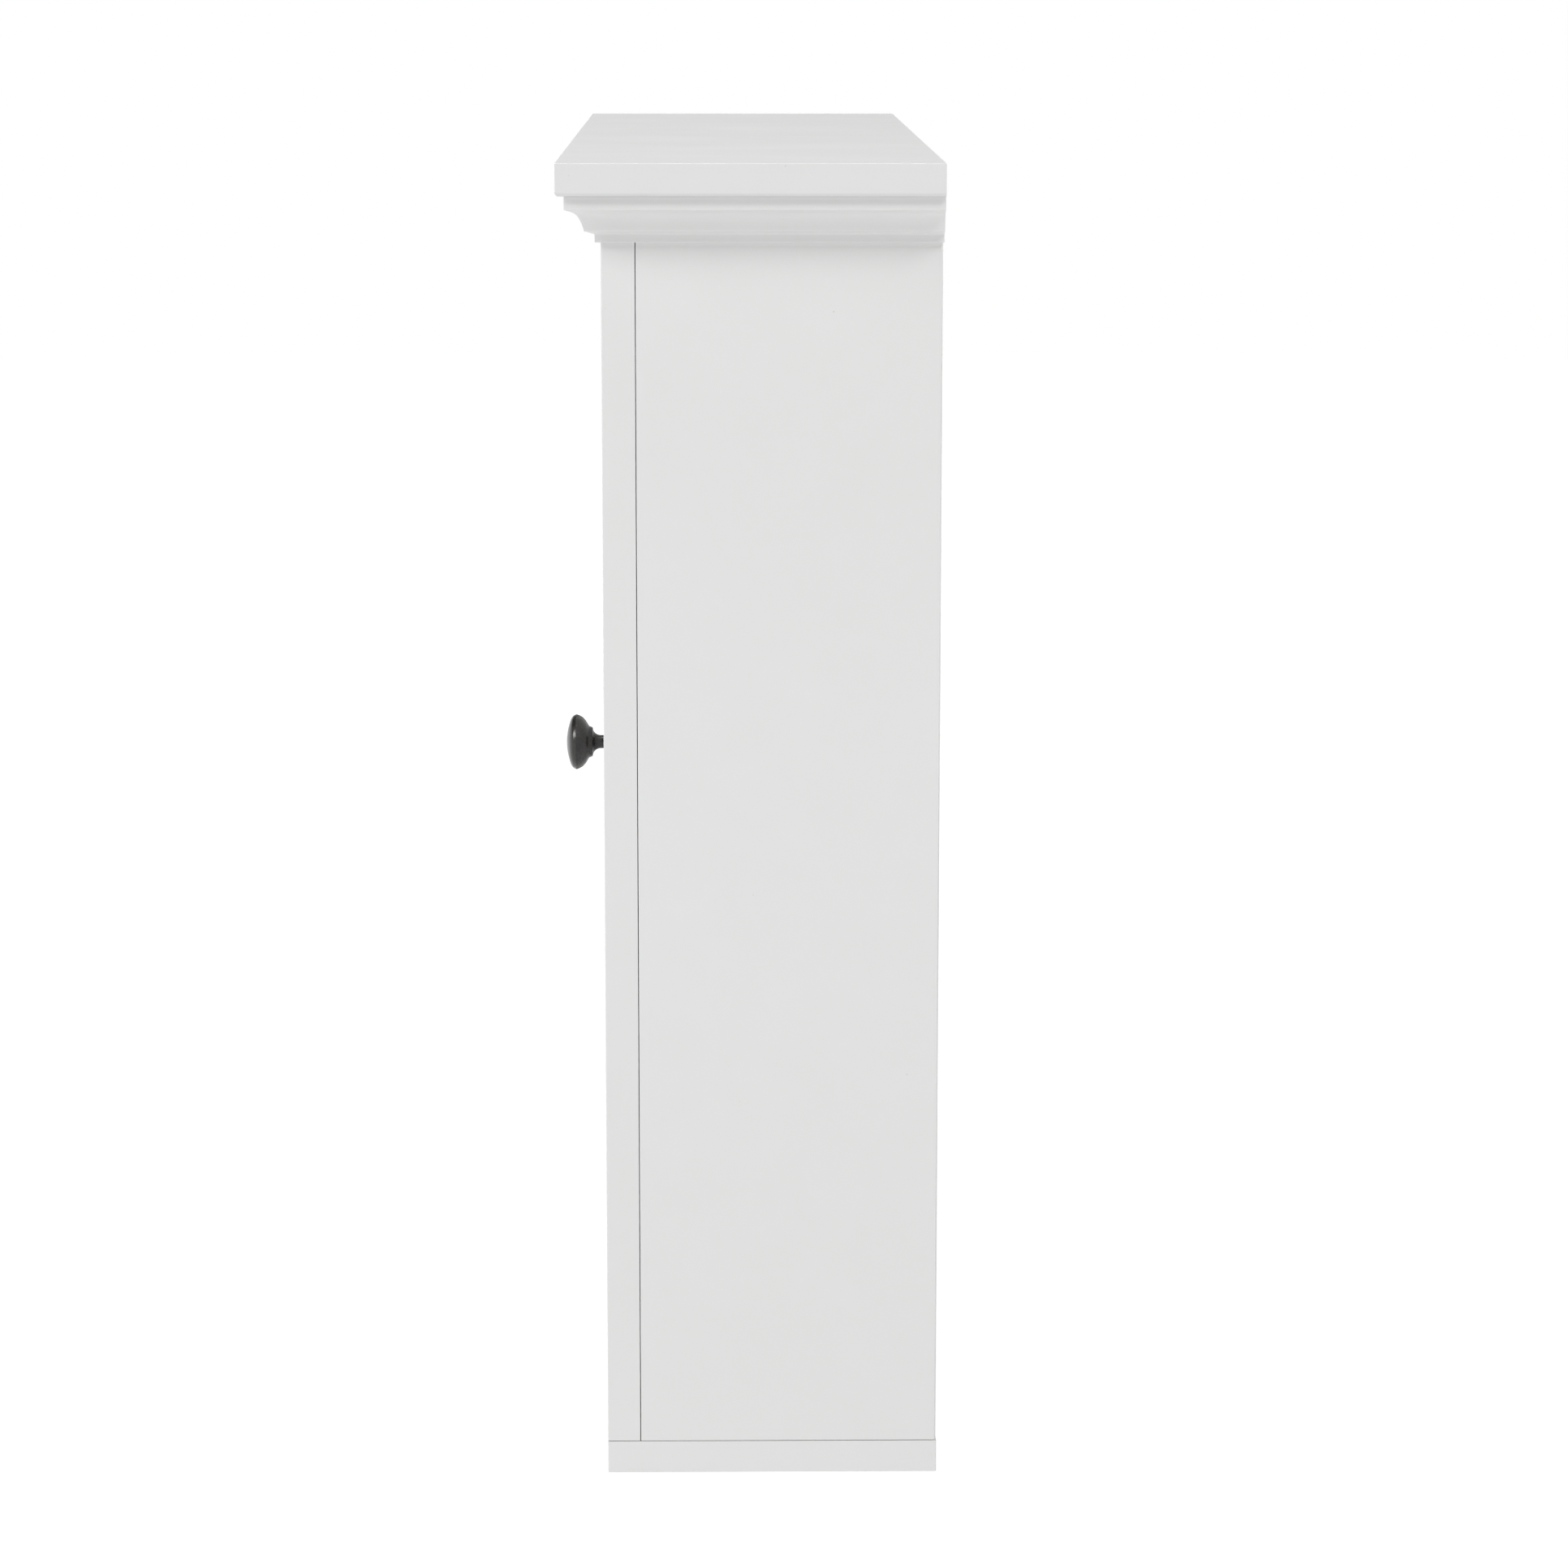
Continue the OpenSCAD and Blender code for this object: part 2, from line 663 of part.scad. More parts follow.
// A rail between the stiles from z0 to z1, with a tongue at each end and a groove along one edge.
module door_rail(z0, z1, groove_z) color(paint) difference() {
    union() {
        block([panel_x0, front_y, z0], [panel_x1, frame_back_y, z1]);
        block([panel_x0 - groove_d, groove_y, z0], [panel_x1 + groove_d, groove_y + panel_t, z1]);
    }
    block([panel_x0 - groove_d - 1, groove_y - 0.1, groove_z - groove_d - 0.3],
          [panel_x1 + groove_d + 1, groove_y - 0.1 + panel_t + 0.2, groove_z + groove_d + 0.3]);
}

module door_rail_top() door_rail(panel_z1, door_z1, panel_z1);

module door_rail_bottom() door_rail(door_z0, panel_z0, panel_z0);

module door_panel() color(paint)
    block([panel_x0 - groove_d + 1, groove_y, panel_z0 - groove_d + 1],
          [panel_x1 + groove_d - 1, groove_y + panel_t, panel_z1 + groove_d - 1]);

// Quarter-round bead in the corner between the panel and the door's frame, as four mitred strips.
module bead_stick(l) {
    translate([-l / 2, 0, 0]) rotate([90, 0, 90]) linear_extrude(l) intersection() {
        circle(r = bead_s);
        translate([-bead_s, 0]) square(bead_s);
    }
}

// A strip along X whose corner is on the line y 0, z 0. Its mitres stop half a joint short at both ends.
module bead_side(l) {
    e = l / 2 - bead_joint / 2;
    w = 2 * bead_s;
    intersection() {
        bead_stick(l);
        rotate([90, 0, 0]) translate([0, 0, -bead_s]) linear_extrude(3 * bead_s)
            polygon([[-e, 0], [e, 0], [e - w, w], [w - e, w]]);
    }
}

module door_beads() color(paint) {
    w = panel_x1 - panel_x0;
    h = panel_z1 - panel_z0;
    translate([(panel_x0 + panel_x1) / 2, groove_y, (panel_z0 + panel_z1) / 2]) {
        for (a = [0, 180]) rotate([0, a, 0]) translate([0, 0, -h / 2]) bead_side(w);
        for (a = [90, 270]) rotate([0, a, 0]) translate([0, 0, -w / 2]) bead_side(h);
    }
}

// ---------- knob ----------

// Outline of the turned knob: x is the radius, y is the distance from the door.
knob_foot_r = 7;
knob_foot_t = 1.2;
knob_foot_flare = [2.4, 6.8];               // from the foot's top in to the waist, and out along the knob
knob_waist_r = 4;
knob_neck_y = 9.2;                          // where the waist ends and the neck starts to flare
knob_collar = [8.7, 14.4];
knob_lip_r = 4.43;                          // rounding of the rim's front
knob_lip_c = [knob_r - knob_lip_r, knob_out - 6.79];
knob_lip_deg = 68;                          // where the rim's rounding meets the domed front
knob_dome_w = knob_lip_c[0] + knob_lip_r * cos(knob_lip_deg);
knob_dome_h = knob_out - knob_lip_c[1] - knob_lip_r * sin(knob_lip_deg);
knob_dome_r = (pow(knob_dome_w, 2) + pow(knob_dome_h, 2)) / (2 * knob_dome_h);
knob_dome_deg = asin(knob_dome_w / knob_dome_r);
knob_back_c = [2.8, knob_out + 0.7];        // centre of the hollow back's arc
knob_back_r = norm([knob_r, knob_lip_c[1]] - knob_back_c);
knob_back_a0 = atan2(knob_lip_c[1] - knob_back_c[1], knob_r - knob_back_c[0]);
knob_back_a1 = -65;

// Points on an arc: c is its centre, r its radius or its two half-widths, a0 and a1 its ends in degrees.
function arc_points(c, r, a0, a1, steps) =
    [for (i = [0 : steps]) let(a = a0 + (a1 - a0) * i / steps) c + [r[0] * cos(a), r[1] * sin(a)]];

knob_outline = concat(
    [[0, 0], [knob_foot_r, 0], [knob_foot_r, knob_foot_t]],
    // Foot, flared down to the waist, then the neck flared up to the collar.
    arc_points([knob_waist_r + knob_foot_flare[0], knob_foot_t + knob_foot_flare[1]],
               knob_foot_flare, 270, 180, 10),
    arc_points([knob_collar[0], knob_neck_y],
               [knob_collar[0] - knob_waist_r, knob_collar[1] - knob_neck_y], 180, 90, 10),
    // Hollow back up to the rim, the rim's rounding and the domed front.
    arc_points(knob_back_c, [knob_back_r, knob_back_r], knob_back_a1, knob_back_a0, 14),
    arc_points(knob_lip_c, [knob_lip_r, knob_lip_r], 8, knob_lip_deg, 8),
    arc_points([0, knob_out - knob_dome_r], [knob_dome_r, knob_dome_r], 91 - knob_dome_deg, 90, 10)
);

module knob() color(bronze) translate([knob_x, front_y, knob_z]) rotate([90, 0, 0]) difference() {
    rotate_extrude() polygon(knob_outline);
    translate([0, 0, -1]) cylinder(r = knob_screw_r + fit, h = knob_bore_l + 1);
}

module knob_screw() color(zinc) {
    rod_y([knob_x, front_y - knob_bore_l + 1, knob_z], knob_screw_r, board_t + knob_bore_l - 1);
    translate([knob_x, frame_back_y, knob_z]) rotate([-90, 0, 0]) difference() {
        union() {
            cylinder(r = knob_head_r, h = knob_head_h / 2);
            translate([0, 0, knob_head_h / 2])
                cylinder(r1 = knob_head_r, r2 = 0.62 * knob_head_r, h = knob_head_h / 2);
        }
        for (a = [0, 90]) translate([0, 0, knob_head_h]) rotate([0, 0, a])
            cube([knob_head_r, 0.9, knob_head_h], center = true);
    }
}

module strike_plates() color(steel) difference() {
    for (z = catch_z) rod_y([catch_x, frame_back_y, z], strike_r, strike_t);
    strike_screw_set(true);
}

// ---------- nodes ----------

placed() base_board();
placed() side_panel_right();
placed() side_panel_left();
placed() centre_divider();
placed() floor_panel();
placed() carcass_top();
placed() back_panel();
placed() hanging_rail();
placed() frame_stile_right();
placed() frame_stile_left();
placed() frame_stile_centre();
placed() frame_rail_top();
placed() frame_rail_bottom();
placed() top_board();
placed() crown_front();
placed() crown_right();
placed() crown_left();
placed() open_shelf(shelf_z[0]);  // shelf_open_lower
placed() open_shelf(shelf_z[1]);  // shelf_open_upper
placed() door_shelf(shelf_z[0]);  // shelf_door_lower
placed() door_shelf(shelf_z[1]);  // shelf_door_upper
placed() shelf_pins();
placed() door_stop();
placed() color(zinc) stop_screw_set();  // stop_screws
placed() catch_housings();
placed() catch_magnets();
placed() door_bumpers();
placed() upper_pivot();
placed() lower_pivot();
placed() pivot_washer();
placed() color(zinc) pivot_screw_set();  // pivot_screws
placed() color(birch) frame_dowel_set();  // frame_dowels
placed() color(birch) divider_dowel_set();  // divider_dowels
placed() color(zinc) base_screw_set();  // base_screws
placed() color(zinc) top_screw_set();  // top_screws
placed() color(zinc) rail_screw_set();  // rail_screws
placed() color(zinc) back_screw_set();  // back_screws
placed() color(zinc) cam_places() cam_disc();  // cam_discs
placed() color(zinc) cam_places() cam_bolt();  // cam_bolts
placed() door_stile_hinge();
placed() door_stile_knob();
placed() door_rail_top();
placed() door_rail_bottom();
placed() door_panel();
placed() door_beads();
placed() upper_bush();
placed() lower_bush();
placed() knob();
placed() knob_screw();
placed() strike_plates();
placed() color(zinc) strike_screw_set();  // strike_screws
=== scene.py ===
import math
import random

import bmesh
import bpy
from mathutils import Matrix, Vector

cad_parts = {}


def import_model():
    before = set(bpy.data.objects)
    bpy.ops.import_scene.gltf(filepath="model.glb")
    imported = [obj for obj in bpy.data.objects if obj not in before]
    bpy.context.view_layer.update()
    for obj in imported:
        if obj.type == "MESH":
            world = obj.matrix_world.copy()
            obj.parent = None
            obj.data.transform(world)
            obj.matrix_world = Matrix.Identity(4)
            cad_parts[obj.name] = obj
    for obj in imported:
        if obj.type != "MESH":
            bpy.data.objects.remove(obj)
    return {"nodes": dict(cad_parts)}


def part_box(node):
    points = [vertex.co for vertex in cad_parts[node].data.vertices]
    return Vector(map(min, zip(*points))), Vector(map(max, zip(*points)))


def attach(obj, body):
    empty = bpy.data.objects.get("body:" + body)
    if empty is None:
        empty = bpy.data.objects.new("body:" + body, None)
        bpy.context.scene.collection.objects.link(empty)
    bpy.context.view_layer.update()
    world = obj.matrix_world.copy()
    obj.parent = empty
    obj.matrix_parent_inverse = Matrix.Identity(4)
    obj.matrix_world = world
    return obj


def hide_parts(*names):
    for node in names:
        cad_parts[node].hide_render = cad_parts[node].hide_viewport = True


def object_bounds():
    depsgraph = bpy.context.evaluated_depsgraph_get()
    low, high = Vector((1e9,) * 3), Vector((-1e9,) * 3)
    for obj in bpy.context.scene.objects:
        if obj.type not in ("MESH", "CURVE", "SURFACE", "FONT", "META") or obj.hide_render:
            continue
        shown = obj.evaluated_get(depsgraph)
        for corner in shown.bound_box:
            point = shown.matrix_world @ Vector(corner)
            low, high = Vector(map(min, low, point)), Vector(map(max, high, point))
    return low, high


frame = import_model()
cad_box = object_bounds()

MM = 0.001
rng = random.Random(4207)

# ---------------------------------------------------------------- node-tree helpers


class Tree:
    """A node tree with short ways of making and joining its nodes."""

    def __init__(self, tree):
        self.tree = tree

    def node(self, kind, **values):
        made = self.tree.nodes.new(kind)
        for name, value in values.items():
            setattr(made, name, value)
        return made

    def join(self, a, b):
        self.tree.links.new(a, b)

    def feed(self, socket, value):
        if hasattr(value, "links"):
            self.join(value, socket)
        else:
            socket.default_value = value

    def math(self, operation, a, b):
        made = self.node("ShaderNodeMath", operation=operation)
        self.feed(made.inputs[0], a)
        self.feed(made.inputs[1], b)
        return made.outputs[0]

    def span(self, value, low, high, to_low, to_high):
        made = self.node("ShaderNodeMapRange", clamp=True)
        self.feed(made.inputs["Value"], value)
        made.inputs["From Min"].default_value = low
        made.inputs["From Max"].default_value = high
        made.inputs["To Min"].default_value = to_low
        made.inputs["To Max"].default_value = to_high
        return made.outputs["Result"]

    def mix(self, share, a, b, blend="MIX"):
        made = self.node("ShaderNodeMix", data_type="RGBA", blend_type=blend)
        self.feed(made.inputs["Factor"], share)
        self.feed(made.inputs["A"], a)
        self.feed(made.inputs["B"], b)
        return made.outputs["Result"]

    def coords(self, shift=(0, 0, 0), stretch=(1, 1, 1)):
        source = self.node("ShaderNodeTexCoord")
        made = self.node("ShaderNodeMapping")
        made.inputs["Location"].default_value = shift
        made.inputs["Scale"].default_value = stretch
        self.join(source.outputs["Object"], made.inputs["Vector"])
        return made.outputs["Vector"]

    def noise(self, where, scale, detail=3.0, rough=0.5):
        made = self.node("ShaderNodeTexNoise")
        self.join(where, made.inputs["Vector"])
        made.inputs["Scale"].default_value = scale
        made.inputs["Detail"].default_value = detail
        made.inputs["Roughness"].default_value = rough
        return made.outputs["Fac"]

    def cells(self, where, scale):
        made = self.node("ShaderNodeTexVoronoi")
        self.join(where, made.inputs["Vector"])
        made.inputs["Scale"].default_value = scale
        return made.outputs["Distance"]

    def bump(self, height, strength, distance):
        made = self.node("ShaderNodeBump")
        made.inputs["Strength"].default_value = strength
        made.inputs["Distance"].default_value = distance
        self.join(height, made.inputs["Height"])
        return made.outputs["Normal"]


def new_material(name):
    made = bpy.data.materials.new(name)
    made.use_nodes = True
    made.node_tree.nodes.clear()
    tree = Tree(made.node_tree)
    shader = tree.node("ShaderNodeBsdfPrincipled")
    out = tree.node("ShaderNodeOutputMaterial")
    tree.join(shader.outputs[0], out.inputs[0])
    return made, tree, shader


def grey(value, warm=1.0, cool=1.0):
    return (value * warm, value, value * cool, 1.0)


def shaded(colour, share):
    return tuple(c * share for c in colour) + (1.0,)


# ---------------------------------------------------------------- materials


def paint(name, tone, worn=False):
    """Sprayed satin paint on board: slow tone drift, faint roller mottle, orange peel and a few dust nibs."""
    made, tree, shader = new_material(name)
    where = tree.coords(shift=[rng.uniform(-9, 9) for _ in range(3)])
    drift = tree.noise(where, 2.6, 2.0)
    mottle = tree.noise(where, 34.0, 5.0, 0.6)
    tone_now = tree.math("ADD", tree.math("MULTIPLY", drift, 0.55), tree.math("MULTIPLY", mottle, 0.45))
    share = tree.span(tone_now, 0.36, 0.64, 0.0, 1.0)
    colour = tree.mix(share, grey(tone * 0.990, 1.002, 0.995), grey(tone * 1.008))
    nib = tree.cells(where, 40.0)
    nib_mask = tree.span(nib, 0.010, 0.024, 1.0, 0.0)
    colour = tree.mix(nib_mask, colour, grey(tone * 0.80, 1.02, 0.93))
    if worn:
        rub = tree.span(tree.noise(where, 95.0, 4.0, 0.7), 0.50, 0.66, 0.0, 0.75)
        colour = tree.mix(rub, colour, grey(tone * 1.03, 1.002, 0.992))
    tree.join(colour, shader.inputs["Base Color"])
    sheen_patch = tree.noise(where, 11.0, 4.0)
    low, high = (0.38, 0.52) if worn else (0.37, 0.49)
    tree.join(tree.span(sheen_patch, 0.3, 0.7, low, high), shader.inputs["Roughness"])
    peel = tree.noise(where, 620.0, 2.0)
    wave = tree.noise(where, 60.0, 2.0)
    height = tree.math("ADD", tree.math("MULTIPLY", peel, 0.5), tree.math("MULTIPLY", wave, 1.4))
    height = tree.math("ADD", height, tree.math("MULTIPLY", nib_mask, 0.5))
    tree.join(tree.bump(height, 0.22, 0.00008), shader.inputs["Normal"])
    return made


def metal(name, colour, rough, scratch_scale, dull=0.25):
    """Plated or plain metal: clouded tone, fine turned or drawn scratches and dull patches."""
    made, tree, shader = new_material(name)
    where = tree.coords(shift=[rng.uniform(-9, 9) for _ in range(3)])
    cloud = tree.noise(where, 260.0, 5.0, 0.6)
    share = tree.span(cloud, 0.35, 0.65, 0.0, 1.0)
    tree.join(tree.mix(share, shaded(colour, 0.78), shaded(colour, 1.0)), shader.inputs["Base Color"])
    drawn = tree.coords(shift=(0.3, 0.1, 0.7), stretch=(1.0, 1.0, 0.08))
    scratch = tree.noise(drawn, scratch_scale, 3.0, 0.7)
    worn = tree.math("ADD", tree.math("MULTIPLY", cloud, dull), tree.math("MULTIPLY", scratch, 0.18))
    tree.join(tree.span(worn, 0.1, 0.4, rough - 0.08, rough + 0.12), shader.inputs["Roughness"])
    tree.join(tree.bump(scratch, 0.25, 0.00003), shader.inputs["Normal"])
    shader.inputs["Metallic"].default_value = 1.0
    return made


KNOB_DARK = (0.0178, 0.0166, 0.0160, 1.0)
KNOB_LIGHT = (0.0295, 0.0277, 0.0265, 1.0)
KNOB_RUBBED = (0.042, 0.037, 0.032, 1.0)
# Painted shade along the knob, from its foot (0) to its front (1): the colour is darkened in the recesses of
# the neck and in the crease under the collar, where shade falls.
KNOB_RECESS_SHADE = (
    (0.11, 1.0), (0.16, 0.72), (0.26, 0.55), (0.31, 0.95),
    (0.36, 0.95), (0.42, 0.55), (0.48, 0.72), (0.56, 1.0),
)


def dark_knob():
    """Oil-rubbed finish on a turned knob: near-black brown with faint turning rings and rubbed high spots,
    plus painted shade that darkens the recesses along the neck.
    """
    made, tree, shader = new_material("dark_knob_finish_and_shade")
    lo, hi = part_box("knob")
    middle = (lo + hi) / 2
    source = tree.node("ShaderNodeTexCoord")
    move = tree.node("ShaderNodeMapping")
    move.inputs["Location"].default_value = (-middle.x, -hi.y, -middle.z)
    tree.join(source.outputs["Object"], move.inputs["Vector"])
    where = move.outputs["Vector"]
    cloud = tree.noise(where, 190.0, 5.0, 0.6)
    fine = tree.noise(where, 1500.0, 3.0, 0.5)
    share = tree.span(cloud, 0.35, 0.68, 0.0, 1.0)
    colour = tree.mix(share, KNOB_DARK, KNOB_LIGHT)
    rubbed = tree.span(tree.noise(where, 320.0, 4.0, 0.7), 0.60, 0.74, 0.0, 0.5)
    colour = tree.mix(rubbed, colour, KNOB_RUBBED)
    split = tree.node("ShaderNodeSeparateXYZ")
    tree.join(where, split.inputs[0])
    along = tree.math("MULTIPLY", split.outputs["Y"], -1.0 / (hi.y - lo.y))
    # Painted shade: a ramp along the knob's axis darkens its colour in the neck's recesses.
    painted_recess_shade = tree.node("ShaderNodeValToRGB")
    ramp = painted_recess_shade.color_ramp
    ramp.elements[0].position = KNOB_RECESS_SHADE[0][0]
    ramp.elements[0].color = grey(KNOB_RECESS_SHADE[0][1])
    ramp.elements[1].position = KNOB_RECESS_SHADE[-1][0]
    ramp.elements[1].color = grey(KNOB_RECESS_SHADE[-1][1])
    for place, shade in KNOB_RECESS_SHADE[1:-1]:
        ramp.elements.new(place).color = grey(shade)
    tree.join(along, painted_recess_shade.inputs["Fac"])
    # Painted shade: the ramp multiplies the knob's colour darker in its recesses.
    colour = tree.mix(1.0, colour, painted_recess_shade.outputs["Color"], blend="MULTIPLY")
    tree.join(colour, shader.inputs["Base Color"])
    patch = tree.math("ADD", tree.math("MULTIPLY", cloud, 0.6), tree.math("MULTIPLY", fine, 0.4))
    tree.join(tree.span(patch, 0.35, 0.65, 0.17, 0.29), shader.inputs["Roughness"])
    rings = tree.node("ShaderNodeTexWave", wave_type="RINGS", rings_direction="Y")
    tree.join(where, rings.inputs["Vector"])
    rings.inputs["Scale"].default_value = 560.0
    rings.inputs["Distortion"].default_value = 0.8
    height = tree.math("ADD", tree.math("MULTIPLY", rings.outputs["Fac"], 0.35), fine)
    tree.join(tree.bump(height, 0.22, 0.00003), shader.inputs["Normal"])
    return made


def plastic(name, colour, rough):
    """Moulded plastic: faint flow marks and a fine spark-eroded grain."""
    made, tree, shader = new_material(name)
    where = tree.coords(shift=(1.7, 0.4, 2.2))
    flow = tree.noise(where, 130.0, 3.0)
    share = tree.span(flow, 0.35, 0.65, 0.0, 1.0)
    tree.join(tree.mix(share, shaded(colour, 0.93), shaded(colour, 1.0)), shader.inputs["Base Color"])
    grain = tree.noise(where, 2400.0, 2.0)
    tree.join(tree.span(flow, 0.3, 0.7, rough - 0.06, rough + 0.06), shader.inputs["Roughness"])
    tree.join(tree.bump(grain, 0.3, 0.00003), shader.inputs["Normal"])
    return made


BEECH_DARK = (0.52, 0.35, 0.19, 1.0)
BEECH_LIGHT = (0.67, 0.50, 0.31, 1.0)
BEECH_FLECK = (0.36, 0.21, 0.10, 1.0)


def beech():
    """Fluted beech dowel: straight grain with short dark flecks."""
    made, tree, shader = new_material("beech_grain")
    where = tree.coords(shift=(0.2, 0.9, 0.5), stretch=(1.0, 0.08, 1.0))
    grain = tree.noise(where, 900.0, 5.0, 0.6)
    fleck = tree.span(tree.noise(where, 2200.0, 2.0), 0.62, 0.70, 0.0, 0.8)
    share = tree.span(grain, 0.35, 0.65, 0.0, 1.0)
    colour = tree.mix(share, BEECH_DARK, BEECH_LIGHT)
    tree.join(tree.mix(fleck, colour, BEECH_FLECK), shader.inputs["Base Color"])
    tree.join(tree.span(grain, 0.3, 0.7, 0.55, 0.72), shader.inputs["Roughness"])
    tree.join(tree.bump(grain, 0.4, 0.00006), shader.inputs["Normal"])
    return made


PAINT_TONE = 0.677
EDGE_PAINT = paint("edge_paint", PAINT_TONE, worn=True)
FINISHES = {
    "beech_dowel": beech(),
    "steel_fitting": metal("steel_satin", (0.60, 0.61, 0.62), 0.30, 5200.0),
    "zinc_screw": metal("zinc_plate", (0.66, 0.65, 0.62), 0.34, 4200.0),
    "brass_bush": metal("brass_turned", (0.72, 0.52, 0.24), 0.28, 6000.0),
    "dark_knob": dark_knob(),
    "pale_plastic": plastic("nylon_pale", (0.74, 0.76, 0.77), 0.42),
    "magnet": metal("magnet_nickel", (0.42, 0.42, 0.43), 0.40, 3800.0, dull=0.4),
}

# ---------------------------------------------------------------- shape work on the CAD boards


def group_tree(name):
    made = bpy.data.node_groups.new(name, "GeometryNodeTree")
    made.interface.new_socket("Geometry", in_out="INPUT", socket_type="NodeSocketGeometry")
    made.interface.new_socket("Geometry", in_out="OUTPUT", socket_type="NodeSocketGeometry")
    tree = Tree(made)
    return made, tree, tree.node("NodeGroupInput"), tree.node("NodeGroupOutput")


def plain_normals_group():
    """Drops the imported normals, so that the bevel starts from the bare faces."""
    made, tree, start, end = group_tree("plain_normals")
    drop = tree.node("GeometryNodeRemoveAttribute")
    drop.inputs["Name"].default_value = "custom_normal"
    tree.join(start.outputs[0], drop.inputs["Geometry"])
    tree.join(drop.outputs[0], end.inputs[0])
    return made


def smooth_group(degrees):
    """Smooth shading, with edges sharper than the given angle kept sharp."""
    made, tree, start, end = group_tree(f"smooth_{degrees}")
    angle = tree.node("GeometryNodeInputMeshEdgeAngle")
    flat = tree.node("FunctionNodeCompare", data_type="FLOAT", operation="LESS_EQUAL")
    tree.join(angle.outputs["Unsigned Angle"], flat.inputs["A"])
    flat.inputs["B"].default_value = math.radians(degrees)
    edges = tree.node("GeometryNodeSetShadeSmooth", domain="EDGE")
    tree.join(start.outputs[0], edges.inputs["Geometry"])
    tree.join(flat.outputs[0], edges.inputs["Shade Smooth"])
    faces = tree.node("GeometryNodeSetShadeSmooth", domain="FACE")
    tree.join(edges.outputs[0], faces.inputs["Geometry"])
    tree.join(faces.outputs[0], end.inputs[0])
    return made


def long_edges_group(degrees, shortest):
    """Marks the long sharp edges for the bevel, and leaves the rims of drilled holes crisp."""
    made, tree, start, end = group_tree("long_edges")
    angle = tree.node("GeometryNodeInputMeshEdgeAngle")
    sharp = tree.node("FunctionNodeCompare", data_type="FLOAT", operation="GREATER_THAN")
    tree.join(angle.outputs["Unsigned Angle"], sharp.inputs["A"])
    sharp.inputs["B"].default_value = math.radians(degrees)
    ends = tree.node("GeometryNodeInputMeshEdgeVertices")
    span = tree.node("ShaderNodeVectorMath", operation="DISTANCE")
    tree.join(ends.outputs["Position 1"], span.inputs[0])
    tree.join(ends.outputs["Position 2"], span.inputs[1])
    long = tree.node("FunctionNodeCompare", data_type="FLOAT", operation="GREATER_THAN")
    tree.join(span.outputs["Value"], long.inputs["A"])
    long.inputs["B"].default_value = shortest
    both = tree.node("FunctionNodeBooleanMath", operation="AND")
    tree.join(sharp.outputs[0], both.inputs[0])
    tree.join(long.outputs[0], both.inputs[1])
    store = tree.node("GeometryNodeStoreNamedAttribute", data_type="FLOAT", domain="EDGE")
    store.inputs["Name"].default_value = "bevel_weight_edge"
    tree.join(start.outputs[0], store.inputs["Geometry"])
    tree.join(both.outputs[0], store.inputs["Value"])
    tree.join(store.outputs[0], end.inputs[0])
    return made


WELD_DISTANCE = 0.000001
COPLANAR_DEGREES = 0.3
SHARP_DEGREES = 32
SHORTEST_EASED = 0.009
SMOOTH_DEGREES = 40
PLAIN_NORMALS = plain_normals_group()
LONG_EDGES = long_edges_group(SHARP_DEGREES, SHORTEST_EASED)
SMOOTH = smooth_group(SMOOTH_DEGREES)


def soften(obj, width, merge_faces=True):
    """Welds the imported corners, joins coplanar faces and eases the long sharp edges a little."""
    obj.modifiers.new("plain_normals", "NODES").node_group = PLAIN_NORMALS
    weld = obj.modifiers.new("weld", "WELD")
    weld.merge_threshold = WELD_DISTANCE
    if merge_faces:
        planes = obj.modifiers.new("planes", "DECIMATE")
        planes.decimate_type = "DISSOLVE"
        planes.angle_limit = math.radians(COPLANAR_DEGREES)
    obj.modifiers.new("long_edges", "NODES").node_group = LONG_EDGES
    bevel = obj.modifiers.new("eased_edges", "BEVEL")
    bevel.width = width
    bevel.segments = 3
    bevel.limit_method = "WEIGHT"
    bevel.use_clamp_overlap = False
    bevel.material = 1
    obj.modifiers.new("smooth", "NODES").node_group = SMOOTH
    weighted = obj.modifiers.new("weighted", "WEIGHTED_NORMAL")
    weighted.keep_sharp = True
    weighted.weight = 100


BOARD_EDGE = 0.0005
MOULDING_EDGE = 0.00035
DOOR_STOP_EDGE = 0.0003
# The top board's colour is a trace darker than the rest: painted shade, so that its face, higher up and clear
# of the crown's shadow, reads no brighter than the side panel.
TOP_BOARD_PAINTED_SHADE = 0.964
PAINTED = sorted(
    name for name, obj in frame["nodes"].items()
    if obj.data.materials[0].name.startswith("white_paint")
)
for name in PAINTED:
    board = frame["nodes"][name]
    tone = PAINT_TONE * rng.uniform(0.994, 1.006)
    # Painted shade: the top board's colour is darkened a trace.
    if name == "top_board":
        tone *= TOP_BOARD_PAINTED_SHADE
    board.material_slots[0].material = paint(f"paint_{name}", tone)
    board.data.materials.append(EDGE_PAINT)
    if name == "door_stop":
        soften(board, DOOR_STOP_EDGE)
    elif name.startswith(("crown", "top_board")):
        soften(board, MOULDING_EDGE)
    else:
        soften(board, BOARD_EDGE, merge_faces=name != "side_panel_left")

for name, obj in sorted(frame["nodes"].items()):
    if name not in PAINTED:
        obj.material_slots[0].material = FINISHES[obj.data.materials[0].name]

# ---------------------------------------------------------------- knob


def arc(centre, radius, start, stop, count):
    """Points on an arc, as (radius from the axis, distance from the door), angles in degrees."""
    turns = [math.radians(start + (stop - start) * i / count) for i in range(count + 1)]
    return [(centre[0] + radius * math.cos(a), centre[1] + radius * math.sin(a)) for a in turns]


